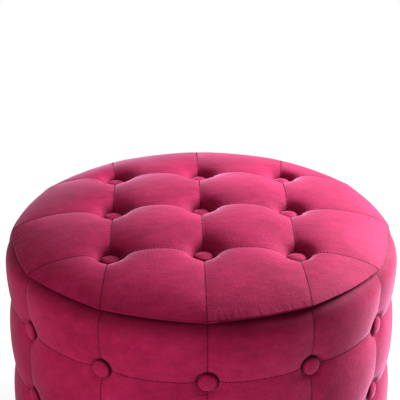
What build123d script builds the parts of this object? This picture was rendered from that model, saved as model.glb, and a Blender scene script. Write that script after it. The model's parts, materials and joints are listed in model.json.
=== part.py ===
from build123d import *
import math
import os

# A round storage pouf with a lift-off lid, buttoned all over. Millimetres, +Z up, the floor at zero,
# the middle of the pouf on the Z axis and the front at -Y.

# Driving dimensions of the upholstered outline
lid_radius = 265.0
lid_middle_radius = 260.0
body_height = 376.0
puff_radius = 278.5
puff_seam_radius = 271.0
row_seam_radius = 276.5
seat_radius = 264.5
rim_radius = 256.0
rim_middle_radius = 257.0
hem_radius = 263.0
shoulder_height = 24.0
hem_height = 20.0
first_row_drop = 81.0
row_pitch = 104.0
rows = 3
columns = 12
crown_height = 46.0
lid_edge_height = 2.0
lid_edge_swell = 3.0
lid_seat_height = 20.0
lid_seat_fall = 18.7
lid_outer_middle = 185.0
button_pitch = 122.5

# Layers and clearances
cover_thickness = 1.2
layer_gap = 0.2
lid_gap = 0.3
lining_thickness = 1.5
dust_thickness = 0.8

# Frame
glide_height = 14.0
glide_radius = 17.0
glide_circle = 192.0
wall_radius = 246.0
wall_thickness = 5.0
base_thickness = 15.0
ring_thickness = 18.0
ring_width = 27.4
post_depth = 24.0
post_width = 30.0
lid_board_thickness = 6.0
lid_board_radius = 234.0
lid_return_radius = 215.0
base_return_radius = 216.0
skirt_depth = 32.0
locator_height = 14.0
locator_width = 18.0
locator_gap = 3.0
floor_board_thickness = 2.5
lining_drop = 10.0
dust_radius = 232.0
lid_lining_radius = 231.0

# Buttons, twine and fixings
button_radius = 12.5
button_height = 6.0
button_rim_height = 2.2
button_seat_gap = 0.6
back_radius = 10.0
back_thickness = 1.2
stud_radius = 1.9
side_stud_length = 8.0
lid_stud_length = 3.0
twine_radius = 0.9
twine_hole_radius = 2.4
board_hole_radius = 3.0
washer_radius = 8.0
washer_thickness = 1.2
lid_washer_thickness = 0.6
knot_radius = 2.2
knot_height = 2.0
lid_knot_height = 0.4
screw_radius = 2.0
screw_head_radius = 4.0
screw_head_height = 2.4
screw_grip = 22.0
short_screw_grip = 4.6
glide_screw_grip = 12.0
pilot_gap = 0.1
staple_width = 10.0
staple_wire = 0.8
staple_leg = 4.5
wall_staple_leg = 14.0
overrun = 5.0

# Shares that shape the puffs: place along a panel, then how far it has risen
rise_shares = ((0.0, 0.0), (0.16, 0.62), (0.5, 1.0), (0.84, 0.62), (1.0, 0.0))
lid_seam_share = 0.72
crown_power_share = 0.7
crown_reach_share = 1.01
lid_outer_share = 1.025
edge_under_share = 0.995
edge_shares = ((0.05, 1.0), (0.3, 0.913), (0.55, 0.813), (0.8, 0.7), (1.05, 0.57))
hem_middle_share = 0.985
glide_foot_share = 0.8
glide_edge_share = 0.12
glide_bore_share = 0.45
cap_shoulder_share = 0.86
cap_shoulder_height_share = 0.72
cap_base_share = 0.94

# Counts and angles
front_angle = -90.0
posts = 6
glides = 4
locator_screws = 8
wall_staples = 12
cover_staples = 24
column_angle = 360.0 / columns
half_turn = 180.0
quarter_turn = 90.0
shoulder_angles = (0.0, 30.0, 60.0, 90.0)

# Levels, from the floor up
dust_bottom = glide_height
cover_bottom = dust_bottom + dust_thickness + layer_gap
frame_bottom = cover_bottom + cover_thickness + layer_gap
base_top = frame_bottom + base_thickness
rim_top = cover_bottom + body_height
frame_top = rim_top - cover_thickness - layer_gap
ring_bottom = frame_top - ring_thickness
lining_top = rim_top - lining_drop
row_levels = [rim_top - first_row_drop - row * row_pitch for row in range(rows)]
lid_lining_bottom = rim_top + lid_gap
lid_bottom = lid_lining_bottom + dust_thickness + layer_gap
lid_board_bottom = lid_bottom + cover_thickness + layer_gap
lid_board_top = lid_board_bottom + lid_board_thickness
locator_bottom = lid_lining_bottom - locator_height

# Radii, from the outside in
foam_inset = cover_thickness + layer_gap
wall_inner_radius = wall_radius - wall_thickness
frame_radius = wall_inner_radius - layer_gap
ring_inner_radius = frame_radius - ring_width
skirt_radius = ring_inner_radius - layer_gap
mouth_radius = skirt_radius - cover_thickness
lining_radius = mouth_radius - layer_gap
hollow_radius = lining_radius - lining_thickness
locator_radius = hollow_radius - locator_gap
locator_inner_radius = locator_radius - locator_width

# Middles of the lid's buttons, three rows of three
lid_lines = (-button_pitch, 0, button_pitch)
lid_buttons_at = [(across, along) for along in lid_lines for across in lid_lines]


def polar(radius, angle):
    return (radius * math.cos(math.radians(angle)), radius * math.sin(math.radians(angle)))


def side_rod(radius, inner, outer):
    """A round rod that points outwards along X from one radius of the pouf to another."""
    with BuildPart() as rod:
        with BuildSketch(Plane.YZ.offset(inner)):
            Circle(radius)
        extrude(amount=outer - inner)
    return rod.part


def add_at_side_buttons(piece, levels, mode=Mode.ADD):
    """Copies a piece that points along X to every button of the rows at these levels."""
    for level in levels:
        with Locations((0, 0, level)):
            with PolarLocations(0, columns, front_angle):
                add(piece, mode=mode)


def add_at_lid_buttons(piece, seated, mode=Mode.ADD):
    """Copies a piece that points along Z to every button of the lid, from its pocket or from the floor."""
    for across, along in lid_buttons_at:
        level = rim_top + lid_height(across, along, 0, 0) if seated else 0
        with Locations((across, along, level)):
            add(piece, mode=mode)


def petals(height, seam_radius, middle_radius):
    """A closed outline of one arc for each column, with its corners at the seams."""
    with BuildSketch(Plane.XY.offset(height)) as outline:
        with BuildLine():
            for column in range(columns):
                start = front_angle + column * column_angle
                ThreePointArc(
                    polar(seam_radius, start),
                    polar(middle_radius, start + column_angle / 2),
                    polar(seam_radius, start + column_angle),
                )
        make_face()
    return outline.sketch


def puff_band(low, high, inset):
    """One row of puffs between two button rows."""
    sections = []
    for place, rise in rise_shares:
        seam = seat_radius + rise * (puff_seam_radius - seat_radius)
        middle = row_seam_radius + rise * (puff_radius - row_seam_radius)
        sections.append(petals(low + place * (high - low), seam - inset, middle - inset))
    with BuildPart() as band:
        loft(sections=sections)
    return band.part


def end_band(row_level, end_level, round_height, end_seam, end_middle, inset):
    """The last puffs above or below the rows, rounded over to a flat end."""
    round_start = end_level + math.copysign(round_height, row_level - end_level)
    sections = []
    for place, rise in rise_shares[:-2]:
        seam = seat_radius + rise * (puff_seam_radius - seat_radius)
        middle = row_seam_radius + rise * (puff_radius - row_seam_radius)
        level = row_level + place * (round_start - row_level)
        sections.append(petals(level, seam - inset, middle - inset))
    for angle in shoulder_angles:
        across = math.cos(math.radians(angle))
        along = math.sin(math.radians(angle))
        seam = end_seam + (puff_seam_radius - end_seam) * across
        middle = end_middle + (puff_radius - end_middle) * across
        level = round_start + (end_level - round_start) * along
        sections.append(petals(level, seam - inset, middle - inset))
    with BuildPart() as band:
        loft(sections=sections)
    return band.part


def body_form(inset):
    """The whole outside of the body, drawn in by an inset, with a pocket at each button."""
    hem_middle = hem_radius * hem_middle_share
    pocket = side_rod(button_radius + button_seat_gap + inset, seat_radius - inset, puff_radius + overrun)
    with BuildPart() as form:
        add(end_band(row_levels[0], rim_top - inset, shoulder_height, rim_radius, rim_middle_radius, inset))
        for upper, lower in zip(row_levels[:-1], row_levels[1:]):
            add(puff_band(lower, upper, inset))
        add(end_band(row_levels[-1], cover_bottom + inset, hem_height, hem_radius, hem_middle, inset))
        add_at_side_buttons(pocket, row_levels, Mode.SUBTRACT)
    return form.part


def lid_height(across, along, rise_across, rise_along):
    """Height of the lid's top above the rim: a pocket at the buttons, a puff between them."""
    distance = math.hypot(across, along) / lid_radius
    crown = max(1 - (distance / crown_reach_share) ** 2, 0) ** crown_power_share
    seat = max(lid_seat_height - lid_seat_fall * distance**2, lid_edge_height)
    puff = max(crown_height * crown, lid_edge_height + lid_edge_swell)
    seam = seat + lid_seam_share * (puff - seat)
    both = puff - 2 * seam + seat
    return seat + (seam - seat) * (rise_across + rise_along) + both * rise_across * rise_along


def lid_section(across, rise_across, inset):
    """A cut through the lid from front to back: four arcs that meet at the three lines of buttons."""
    outer = lid_radius * lid_outer_share
    lines = (-outer, -button_pitch, 0, button_pitch, outer)
    middles = (-lid_outer_middle, -button_pitch / 2, button_pitch / 2, lid_outer_middle)
    floor = rim_top - overrun
    with BuildSketch(Plane.YZ.offset(across)) as section:
        with BuildLine():
            tops = [rim_top - inset + lid_height(across, along, rise_across, 0) for along in lines]
            for index, along in enumerate(middles):
                middle = rim_top - inset + lid_height(across, along, rise_across, 1)
                ThreePointArc(
                    (lines[index], tops[index]), (along, middle), (lines[index + 1], tops[index + 1])
                )
            Polyline((outer, tops[-1]), (outer, floor), (-outer, floor), (-outer, tops[0]))
        make_face()
    return section.sketch


def lid_envelope(inset):
    """The lid's soft edge: a short turn under at the bottom, then a slope that rises to the crown."""
    middle_share = lid_middle_radius / lid_radius
    under = lid_radius * edge_under_share
    turn = [petals(lid_bottom + inset, under - inset, under * middle_share - inset)]
    slope = []
    for rise, reach in edge_shares:
        seam = lid_radius * reach
        settle = inset / 2 if slope else 0
        level = lid_bottom + crown_height * rise - settle
        slope.append(petals(level, seam - inset, seam * middle_share - inset))
    turn.append(slope[0])
    with BuildPart() as envelope:
        loft(sections=turn)
        loft(sections=slope)
    return envelope.part


def lid_form(inset):
    """The whole outside of the lid, drawn in by an inset, with a pocket at each button."""
    outer = lid_radius * lid_outer_share
    outer_places = ((button_pitch, 0.0), (lid_outer_middle, 1.0), (outer, 0.0))
    inner_places = [(place * button_pitch, rise) for place, rise in rise_shares]
    with BuildPart() as form:
        for side in (-1, 1):
            for places in (inner_places, outer_places):
                loft(sections=[lid_section(side * across, rise, inset) for across, rise in places])
        add(lid_envelope(inset), mode=Mode.INTERSECT)
        for across, along in lid_buttons_at:
            seat = rim_top - inset + lid_height(across, along, 0, 0)
            with BuildSketch(Plane.XY.offset(seat)):
                with Locations((across, along)):
                    Circle(button_radius + button_seat_gap + inset)
            extrude(amount=crown_height, mode=Mode.SUBTRACT)
    return form.part


def disc(radius, inner_radius, bottom, thickness):
    """A flat disc, or a ring where it has an inner radius."""
    with BuildPart() as plate:
        with BuildSketch(Plane.XY.offset(bottom)):
            Circle(radius)
            if inner_radius:
                Circle(inner_radius, mode=Mode.SUBTRACT)
        extrude(amount=thickness)
    return plate.part


def turned(plane, axis, points, dome=None):
    """A piece turned from the outline of half of it; the dome's middle point bows its first line."""
    with BuildPart() as piece:
        with BuildSketch(plane):
            with BuildLine():
                if dome:
                    ThreePointArc(points[0], dome, points[1])
                    Polyline(*points[1:], points[0])
                else:
                    Polyline(*points, points[0])
            make_face()
        revolve(axis=axis)
    return piece.part


def button_cap(outline):
    """The cloth-covered dome of a button, hollow underneath where its back is pressed in."""
    hollow = back_radius + pilot_gap
    hollow_top = back_thickness + layer_gap
    shoulder = (button_radius * cap_shoulder_share, button_height * cap_shoulder_height_share)
    points = [
        (0, button_height),
        (button_radius, button_rim_height),
        (button_radius * cap_base_share, layer_gap),
        (hollow, layer_gap),
        (hollow, hollow_top),
        (0, hollow_top),
    ]
    return outline(points, shoulder)


def button_back(outline, stud_length):
    """The button's metal back, with a stud that goes down through the cover."""
    points = [
        (0, back_thickness),
        (back_radius, back_thickness),
        (back_radius, layer_gap),
        (stud_radius, layer_gap),
        (stud_radius, -stud_length),
        (0, -stud_length),
    ]
    return outline(points)


def on_the_lid(points, dome=None):
    """Turns an outline of radius and height about the Z axis."""
    return turned(Plane.XZ, Axis.Z, points, dome)


def on_the_side(points, dome=None):
    """Turns the same outline about the X axis, standing on the bottom of a side pocket."""
    moved = [(seat_radius + height, radius) for radius, height in points]
    middle = (seat_radius + dome[1], dome[0]) if dome else None
    return turned(Plane.XZ, Axis.X, moved, middle)


def screw_shape(length, gap):
    """A countersunk screw with its flat head at zero, pointing down; a gap makes its hole."""
    tip = screw_radius * 2
    points = [
        (0, 0),
        (screw_head_radius + gap, 0),
        (screw_radius + gap, -screw_head_height - gap),
        (screw_radius + gap, -length + tip - gap),
        (0, -length - gap),
    ]
    return turned(Plane.XZ, Axis.Z, points)


def add_screws(length, circle, count, start, level, upwards, mode=Mode.ADD):
    """A ring of screws, or of their holes when they are subtracted."""
    gap = pilot_gap if mode == Mode.SUBTRACT else 0
    turn = half_turn if upwards else 0
    with Locations((0, 0, level)):
        with PolarLocations(circle, count, start):
            add(screw_shape(length, gap), rotation=(turn, 0, 0), mode=mode)


def add_locator_screws(mode=Mode.ADD):
    """The screws that hold the locating ring under the lid, or their holes."""
    add_screws(locator_length, locator_middle, locator_screws, locator_start, locator_bottom, True, mode)


def add_glide_screws(mode=Mode.ADD):
    """The screws that hold the glides under the base, or their holes."""
    add_screws(glide_length, glide_circle, glides, glide_start, glide_recess, True, mode)


def add_lower_screws(mode=Mode.ADD):
    """The screws up into the posts, or their holes."""
    add_screws(post_lower_length, post_middle, posts, post_start, frame_bottom, True, mode)


def add_upper_screws(mode=Mode.ADD):
    """The screws down into the posts, or their holes."""
    add_screws(post_upper_length, post_middle, posts, post_start, frame_top, False, mode)


def staple(plane, leg):
    """A wire staple: its back lies along the plane's X and its legs point along the plane's Y."""
    half = staple_width / 2
    with BuildPart() as wire:
        with BuildSketch(plane):
            with BuildLine():
                Polyline(
                    (-half, 0),
                    (half, 0),
                    (half, leg),
                    (half - staple_wire, leg),
                    (half - staple_wire, staple_wire),
                    (-half + staple_wire, staple_wire),
                    (-half + staple_wire, leg),
                    (-half, leg),
                    close=True,
                )
            make_face()
        extrude(amount=staple_wire / 2, both=True)
    return wire.part


def add_flat_staples(circle, level, count, leg):
    """Staples in a flat underside, their legs up."""
    with PolarLocations(0, count, column_angle / 4):
        add(staple(Plane((circle, 0, level), x_dir=(0, 1, 0), z_dir=(1, 0, 0)), leg))


def add_edge_staples(circle, level, count, leg, inwards):
    """Staples in a round wall, their legs pointing towards the middle or away from it."""
    facing = 1 if inwards else -1
    with PolarLocations(0, count, column_angle / 4):
        add(staple(Plane((circle, 0, level), x_dir=(0, 1, 0), z_dir=(0, 0, facing)), leg))


def finish(piece, name):
    """Names a piece and writes it."""
    piece.part.label = name
    export_step(piece.part, f"parts/{name}.step")


os.makedirs("parts", exist_ok=True)

# Screws, worked out from what they hold
post_upper_length = ring_thickness + screw_grip
post_lower_length = base_thickness + screw_grip
locator_length = locator_height + lid_board_bottom - lid_lining_bottom + short_screw_grip
glide_recess = glide_height * glide_bore_share
glide_length = frame_bottom - glide_recess + glide_screw_grip
post_start = front_angle + column_angle / 2
glide_start = front_angle + quarter_turn / 2
locator_start = front_angle + column_angle / 4
locator_middle = locator_radius - locator_width / 2
post_middle = frame_radius - post_depth / 2 - layer_gap * 2

# The base board, which the posts and glides are screwed to
with BuildPart() as base_board:
    add(disc(frame_radius, 0, frame_bottom, base_thickness))
    add_lower_screws(Mode.SUBTRACT)
    add_glide_screws(Mode.SUBTRACT)
finish(base_board, "base_board")

# The ring that stiffens the mouth and carries the lid
with BuildPart() as top_ring:
    add(disc(frame_radius, ring_inner_radius, ring_bottom, ring_thickness))
    add_upper_screws(Mode.SUBTRACT)
finish(top_ring, "top_ring")

# Posts between the base board and the ring
with BuildPart() as upright_posts:
    with BuildSketch(Plane.XY.offset(base_top)):
        with PolarLocations(post_middle, posts, post_start):
            Rectangle(post_depth, post_width)
    extrude(amount=ring_bottom - base_top)
    add_lower_screws(Mode.SUBTRACT)
    add_upper_screws(Mode.SUBTRACT)
finish(upright_posts, "upright_posts")

with BuildPart() as post_screws_lower:
    add_lower_screws()
finish(post_screws_lower, "post_screws_lower")

with BuildPart() as post_screws_upper:
    add_upper_screws()
finish(post_screws_upper, "post_screws_upper")

# The bent board round the frame, bored for the twine of every button
with BuildPart() as drum_wall:
    add(disc(wall_radius, wall_inner_radius, frame_bottom, frame_top - frame_bottom))
    wall_bore = side_rod(board_hole_radius, wall_inner_radius - overrun, wall_radius + overrun)
    add_at_side_buttons(wall_bore, row_levels, Mode.SUBTRACT)
finish(drum_wall, "drum_wall")

with BuildPart() as wall_staples_lower:
    add_edge_staples(wall_radius, frame_bottom + base_thickness / 2, wall_staples, wall_staple_leg, True)
finish(wall_staples_lower, "wall_staples_lower")

with BuildPart() as wall_staples_upper:
    add_edge_staples(wall_radius, frame_top - ring_thickness / 2, wall_staples, wall_staple_leg, True)
finish(wall_staples_upper, "wall_staples_upper")

# The foam round the wall, tufted, with a bore behind every button
with BuildPart() as side_foam:
    add(body_form(foam_inset))
    with BuildSketch(Plane.XY.offset(cover_bottom)):
        Circle(wall_radius + layer_gap)
    extrude(amount=body_height, mode=Mode.SUBTRACT)
    foam_bore = side_rod(twine_hole_radius, wall_radius - overrun, puff_radius)
    add_at_side_buttons(foam_bore, row_levels, Mode.SUBTRACT)
finish(side_foam, "side_foam")

# The velvet over it, turned in under the base and over the mouth
with BuildPart() as side_cover:
    add(body_form(0))
    add(body_form(cover_thickness), mode=Mode.SUBTRACT)
    with BuildSketch(Plane.XY.offset(cover_bottom)):
        Circle(base_return_radius)
    extrude(amount=body_height / 2, mode=Mode.SUBTRACT)
    with BuildSketch(Plane.XY.offset(rim_top)):
        Circle(mouth_radius)
    extrude(amount=-body_height / 2, mode=Mode.SUBTRACT)
    add(disc(skirt_radius, mouth_radius, rim_top - skirt_depth, skirt_depth))
    cover_bore = side_rod(twine_hole_radius, wall_radius, puff_radius)
    add_at_side_buttons(cover_bore, row_levels, Mode.SUBTRACT)
finish(side_cover, "side_cover")

# Buttons of the side, one node for each row
side_cap = button_cap(on_the_side)
with BuildPart() as side_buttons_row_1:
    add_at_side_buttons(side_cap, row_levels[:1])
finish(side_buttons_row_1, "side_buttons_row_1")

with BuildPart() as side_buttons_row_2:
    add_at_side_buttons(side_cap, row_levels[1:2])
finish(side_buttons_row_2, "side_buttons_row_2")

with BuildPart() as side_buttons_row_3:
    add_at_side_buttons(side_cap, row_levels[2:])
finish(side_buttons_row_3, "side_buttons_row_3")

with BuildPart() as side_button_backs:
    add_at_side_buttons(button_back(on_the_side, side_stud_length), row_levels)
finish(side_button_backs, "side_button_backs")

# Twine from each stud through the wall to a washer inside
washer_outer = math.sqrt(wall_inner_radius**2 - washer_radius**2) - pilot_gap
washer_inner = washer_outer - washer_thickness
with BuildPart() as side_washers:
    add_at_side_buttons(side_rod(washer_radius, washer_inner, washer_outer), row_levels)
    washer_bore = side_rod(twine_radius + pilot_gap, washer_inner - overrun, washer_outer + overrun)
    add_at_side_buttons(washer_bore, row_levels, Mode.SUBTRACT)
finish(side_washers, "side_washers")

with BuildPart() as side_twines:
    add_at_side_buttons(side_rod(twine_radius, washer_inner, seat_radius - side_stud_length), row_levels)
    add_at_side_buttons(side_rod(knot_radius, washer_inner - knot_height, washer_inner), row_levels)
finish(side_twines, "side_twines")

# What holds the velvet: staples under the base and inside the ring
with BuildPart() as hem_staples:
    hem_circle = (base_return_radius + frame_radius) / 2
    add_flat_staples(hem_circle, cover_bottom, cover_staples, staple_leg)
finish(hem_staples, "hem_staples")

with BuildPart() as rim_staples:
    rim_level = rim_top - skirt_depth / 2
    add_edge_staples(mouth_radius, rim_level, cover_staples, staple_leg, False)
finish(rim_staples, "rim_staples")

# The lining of the storage drum
with BuildPart() as lining_wall:
    add(disc(lining_radius, hollow_radius, base_top, lining_top - base_top))
finish(lining_wall, "lining_wall")

with BuildPart() as lining_staples:
    add_edge_staples(hollow_radius, lining_top - staple_width / 2, wall_staples, staple_leg, False)
finish(lining_staples, "lining_staples")

with BuildPart() as lining_floor:
    add(disc(hollow_radius - layer_gap, 0, base_top, floor_board_thickness))
finish(lining_floor, "lining_floor")

# Under the base
with BuildPart() as dust_cover:
    add(disc(dust_radius, 0, dust_bottom, dust_thickness))
    add_glide_screws(Mode.SUBTRACT)
finish(dust_cover, "dust_cover")

with BuildPart() as dust_staples:
    add_flat_staples(dust_radius - staple_width / 2, dust_bottom, wall_staples, staple_leg)
finish(dust_staples, "dust_staples")

with BuildPart() as glide_feet:
    foot = glide_radius * glide_foot_share
    edge = glide_radius * glide_edge_share
    outline = [(0, 0), (foot - edge, 0), (foot, edge), (glide_radius, glide_height), (0, glide_height)]
    with PolarLocations(glide_circle, glides, glide_start):
        add(on_the_lid(outline))
        Cylinder(
            screw_head_radius + pilot_gap,
            glide_recess,
            align=(Align.CENTER, Align.CENTER, Align.MIN),
            mode=Mode.SUBTRACT,
        )
    add_glide_screws(Mode.SUBTRACT)
finish(glide_feet, "glide_feet")

with BuildPart() as glide_screws:
    add_glide_screws()
finish(glide_screws, "glide_screws")

# The lid's board, bored for its buttons' twine
with BuildPart() as lid_board:
    add(disc(lid_board_radius, 0, lid_board_bottom, lid_board_thickness))
    with BuildSketch(Plane.XY.offset(lid_board_bottom)):
        with Locations(*lid_buttons_at):
            Circle(board_hole_radius)
    extrude(amount=lid_board_thickness, mode=Mode.SUBTRACT)
    add_locator_screws(Mode.SUBTRACT)
finish(lid_board, "lid_board")

with BuildPart() as lid_foam:
    add(lid_form(foam_inset))
    with BuildSketch(Plane.XY.offset(lid_bottom)):
        Circle(lid_board_radius + layer_gap)
    extrude(amount=lid_board_top + layer_gap - lid_bottom, mode=Mode.SUBTRACT)
    with BuildSketch(Plane.XY.offset(lid_bottom)):
        with Locations(*lid_buttons_at):
            Circle(twine_hole_radius)
    extrude(amount=crown_height, mode=Mode.SUBTRACT)
finish(lid_foam, "lid_foam")

with BuildPart() as lid_cover:
    add(lid_form(0))
    add(lid_form(cover_thickness), mode=Mode.SUBTRACT)
    with BuildSketch(Plane.XY.offset(lid_bottom)):
        Circle(lid_return_radius)
    extrude(amount=lid_board_bottom - lid_bottom, mode=Mode.SUBTRACT)
    with BuildSketch(Plane.XY.offset(lid_bottom)):
        with Locations(*lid_buttons_at):
            Circle(twine_hole_radius)
    extrude(amount=crown_height, mode=Mode.SUBTRACT)
finish(lid_cover, "lid_cover")

# Buttons of the lid
with BuildPart() as lid_buttons:
    add_at_lid_buttons(button_cap(on_the_lid), True)
finish(lid_buttons, "lid_buttons")

with BuildPart() as lid_button_backs:
    add_at_lid_buttons(button_back(on_the_lid, lid_stud_length), True)
finish(lid_button_backs, "lid_button_backs")

# Twine from each stud through the board to a washer under it
washer_top = lid_board_bottom - layer_gap / 2
washer_bottom = washer_top - lid_washer_thickness
with BuildPart() as lid_washers:
    with BuildSketch(Plane.XY.offset(washer_bottom)):
        with Locations(*lid_buttons_at):
            Circle(washer_radius)
            Circle(twine_radius + pilot_gap, mode=Mode.SUBTRACT)
    extrude(amount=lid_washer_thickness)
finish(lid_washers, "lid_washers")

with BuildPart() as lid_twines:
    for across, along in lid_buttons_at:
        stud_end = rim_top + lid_height(across, along, 0, 0) - lid_stud_length
        with BuildSketch(Plane.XY.offset(washer_bottom)):
            with Locations((across, along)):
                Circle(twine_radius)
        extrude(amount=stud_end - washer_bottom)
    with BuildSketch(Plane.XY.offset(washer_bottom)):
        with Locations(*lid_buttons_at):
            Circle(knot_radius)
    extrude(amount=-lid_knot_height)
finish(lid_twines, "lid_twines")

# Under the lid: staples, lining and the ring that drops into the mouth
with BuildPart() as lid_cover_staples:
    lid_hem_circle = lid_return_radius + staple_width / 4
    add_flat_staples(lid_hem_circle, lid_bottom, cover_staples, staple_leg)
finish(lid_cover_staples, "lid_cover_staples")

with BuildPart() as lid_lining:
    add(disc(lid_lining_radius, 0, lid_lining_bottom, dust_thickness))
    add_locator_screws(Mode.SUBTRACT)
finish(lid_lining, "lid_lining")

with BuildPart() as lid_lining_staples:
    add_flat_staples(lid_lining_radius - staple_width / 4, lid_lining_bottom, wall_staples, staple_leg)
finish(lid_lining_staples, "lid_lining_staples")

with BuildPart() as locating_ring:
    add(disc(locator_radius, locator_inner_radius, locator_bottom, locator_height))
    add_locator_screws(Mode.SUBTRACT)
finish(locating_ring, "locating_ring")

with BuildPart() as locating_ring_screws:
    add_locator_screws()
finish(locating_ring_screws, "locating_ring_screws")
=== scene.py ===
"""The looks of a round, button-tufted velvet storage pouf with a lift-off lid.

Metres, +Z up, front at -Y.
"""

import json
import math

import bpy
import numpy as np
from mathutils import Matrix, Vector

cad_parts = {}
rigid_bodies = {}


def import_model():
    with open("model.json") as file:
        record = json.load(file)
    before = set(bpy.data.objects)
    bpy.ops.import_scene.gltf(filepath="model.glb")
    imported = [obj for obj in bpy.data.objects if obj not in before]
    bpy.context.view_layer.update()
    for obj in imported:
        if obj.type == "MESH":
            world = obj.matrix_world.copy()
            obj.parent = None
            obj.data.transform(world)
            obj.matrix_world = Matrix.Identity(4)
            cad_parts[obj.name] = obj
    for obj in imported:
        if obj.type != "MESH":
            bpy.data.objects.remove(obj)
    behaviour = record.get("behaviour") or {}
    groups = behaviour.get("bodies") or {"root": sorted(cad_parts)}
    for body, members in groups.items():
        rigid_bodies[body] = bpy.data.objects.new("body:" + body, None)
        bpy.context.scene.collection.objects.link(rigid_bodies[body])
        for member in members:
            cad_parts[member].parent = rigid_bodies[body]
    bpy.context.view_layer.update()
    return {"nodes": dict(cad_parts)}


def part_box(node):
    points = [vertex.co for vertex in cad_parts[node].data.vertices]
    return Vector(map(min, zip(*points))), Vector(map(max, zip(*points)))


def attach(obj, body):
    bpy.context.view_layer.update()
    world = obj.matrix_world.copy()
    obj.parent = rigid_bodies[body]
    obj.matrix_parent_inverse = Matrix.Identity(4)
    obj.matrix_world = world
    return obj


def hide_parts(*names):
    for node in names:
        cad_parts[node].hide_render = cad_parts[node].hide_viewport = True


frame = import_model()

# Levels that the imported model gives
rim_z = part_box("side_cover")[1].z
hem_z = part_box("side_cover")[0].z
lid_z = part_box("lid_cover")[0].z

# The lid from above: 3 by 3 buttons, and an edge with a corner at each of its twelve seams
button_pitch = 0.1225
lid_seam_radius = 0.265
lid_middle_radius = 0.2618
lid_panel_angle = 30.0
lid_corner_bulge = 0.0085

# The lid's heights above the rim
crown_height = 0.0462
crown_reach = 0.2658
crown_power = 0.565
lid_seat_height = 0.0200
lid_seat_fall = 0.0187
lid_seat_limit = 0.9
lid_seam_share = 0.80
lid_outer_seam_share = 0.94
flush_start_radius = 0.140
flush_end_radius = 0.225
lid_edge_height = 0.0012
lid_corner_droop = 0.0064
droop_start_share = 0.86

# The lip under the lid: how far in each ring lies, and its share of the edge's height
lip_rings = (
    (0.0030, 0.60), (0.0060, 0.15), (0.0100, 0.0), (0.0160, 0.0), (0.0320, 0.0), (0.0500, 0.0),
)
# The lip's first rings, which take the darkest painted edge shade
turned_under_rings = 3

# The side's upholstery
columns = 12
row_levels = (0.310, 0.206, 0.102)
seat_radius = 0.2645
seam_radius = 0.2704
row_radius = 0.2694
puff_radius = 0.2744
rim_radius = 0.256
rim_middle_radius = 0.257
hem_radius = 0.263
hem_middle_radius = hem_radius - 0.004
hem_return_radius = 0.216
shoulder_height = 0.024
hem_height = 0.020
mouth_radius = 0.212
skirt_depth = 0.032
skirt_thickness = 0.0012
wall_radius = 0.2463

# How a puff rises from one seam to the next, and from the last buttons to the lid's edge
puff_flatness = 2.1
puff_fullness = 0.76
outer_puff_reach = 0.46

# The cloth drawn in round a button
button_seat = 0.0128
button_lift = 0.0022
well_width = 0.0050
moat_depth = 0.0030
moat_width = 0.0024

# A button's outline from its underside to its crown, as radius and height, and its pleats
button_profile = (
    (0.0104, 0.0004), (0.0117, 0.0003), (0.0125, 0.0011), (0.01262, 0.0020), (0.0122, 0.0030),
    (0.0112, 0.0040), (0.0094, 0.0049), (0.0070, 0.0056), (0.0044, 0.0060), (0.0018, 0.00618),
)
pleats = 16
pleat_depth = 0.00018
pleat_level = 0.0008
pleat_height = 0.0016
pleat_start_radius = 0.0095
lid_button_turn = 47
side_button_turn = 61

# A stitch from end to end: how far along, how high and how thick it is, as shares of its sizes
stitch_pitch = 0.0044
stitch_length = 0.0030
stitch_radius = 0.00048
stitch_profile = (
    (-0.5, -1.0, 0.2), (-0.36, 0.1, 0.8), (0.0, 0.5, 1.0), (0.36, 0.1, 0.8), (0.5, -1.0, 0.2),
)

# How many cells the grids have
lid_inner_cells = 24
lid_outer_cells = 26
column_cells = 26
skirt_cells = 6
shoulder_cells = 8
top_band_cells = 12
band_cells = 20
bottom_band_cells = 13
hem_cells = 7
rim_shares = (0.1, 0.25, 0.4, 0.55, 0.7, 0.82, 0.92)
hem_return_shares = (0.15, 0.4, 0.7, 1.0)
around = columns * column_cells
first_seam_ring = skirt_cells + 1
shoulder_ring = first_seam_ring + len(rim_shares) + 1

# The simulated cloth: how hard it is blown up, how far it may move, and what holds it back
cloth_frames = 20
lid_pressure = 60.0
lid_swell = 0.0024
side_pressure = 50.0
side_swell = 0.0015
seam_hold = 0.995
button_hold_radius = button_seat * 1.15
seam_sharpness = 0.9

# Distance kept on cloth that is near no seam, edge or button
far_away = 1.0

# Shades and tints of the velvet
white = (1.0, 1.0, 1.0)
black = (0.0, 0.0, 0.0)
# Painted shade: the colour that darkens the cloth in the crease at the lid's turned-under edge and
# round each button
painted_shade_colour = (0.50, 0.42, 0.46)
sheen_pink = (1.0, 0.42, 0.68, 1.0)


def select_only(piece):
    for other in bpy.context.view_layer.objects:
        other.select_set(False)
    piece.select_set(True)
    bpy.context.view_layer.objects.active = piece


def apply_modifier(piece, modifier):
    select_only(piece)
    bpy.ops.object.modifier_apply(modifier=modifier.name)


def piece_from(name, points, faces):
    """A new object from points and faces, smooth all over."""
    mesh = bpy.data.meshes.new(name)
    mesh.from_pydata([tuple(point) for point in points], [], faces)
    mesh.validate()
    mesh.shade_smooth()
    piece = bpy.data.objects.new(name, mesh)
    bpy.context.scene.collection.objects.link(piece)
    return piece


def square_faces(size):
    """Quads of a square grid whose points run row by row."""
    faces = []
    for row in range(size - 1):
        for column in range(size - 1):
            low = row * size + column
            faces.append((low, low + 1, low + size + 1, low + size))
    return faces


def band_faces(first, second):
    """Quads between two closed rings of points."""
    faces = []
    for index in range(len(first)):
        after = (index + 1) % len(first)
        faces.append((first[index], second[index], second[after], first[after]))
    return faces


def pillow(share):
    """How far a puff has risen between two seams, from 0 at both to 1 halfway."""
    return (1 - np.abs(2 * share - 1) ** puff_flatness) ** puff_fullness


def outer_rise(share):
    """How far a puff that ends at the lid's edge has risen from the last line of buttons."""
    return (1 - (1 - np.minimum(share / outer_puff_reach, 1)) ** puff_flatness) ** puff_fullness


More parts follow.
